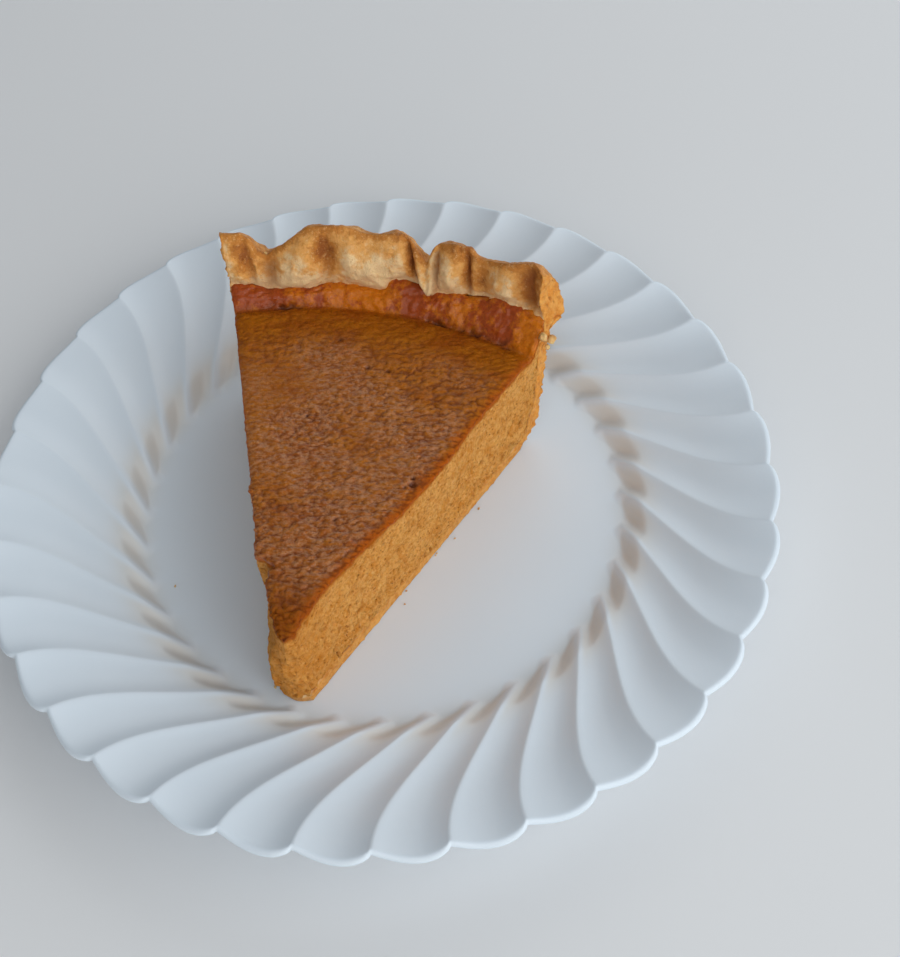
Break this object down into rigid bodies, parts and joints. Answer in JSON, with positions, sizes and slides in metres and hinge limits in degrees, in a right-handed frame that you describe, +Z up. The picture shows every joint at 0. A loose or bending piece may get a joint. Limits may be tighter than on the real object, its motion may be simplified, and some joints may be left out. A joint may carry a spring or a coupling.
{
  "type": "pumpkin pie slice on a plate",
  "caption": "Slice of pumpkin pie with a crimped pastry crust, lying on the round swirl-fluted plate it is served on.",
  "frame": {"origin": "centre of the plate's foot ring, on the surface the plate stands on", "axes": "+Z up; the slice's point looks towards -Y and its crimped crust towards +Y"},
  "size_m": [0.2002, 0.2002, 0.0606],
  "materials": {
    "white_glaze": "smooth glossy ceramic glaze",
    "baked_pastry": "dry flaky baked pastry with browned crests",
    "pumpkin_custard": "moist set custard, glossy on top, porous where cut"
  },
  "bodies": {
    "root": {"plate": "white_glaze", "crust": "baked_pastry", "filling": "pumpkin_custard"}
  },
  "joints": []
}
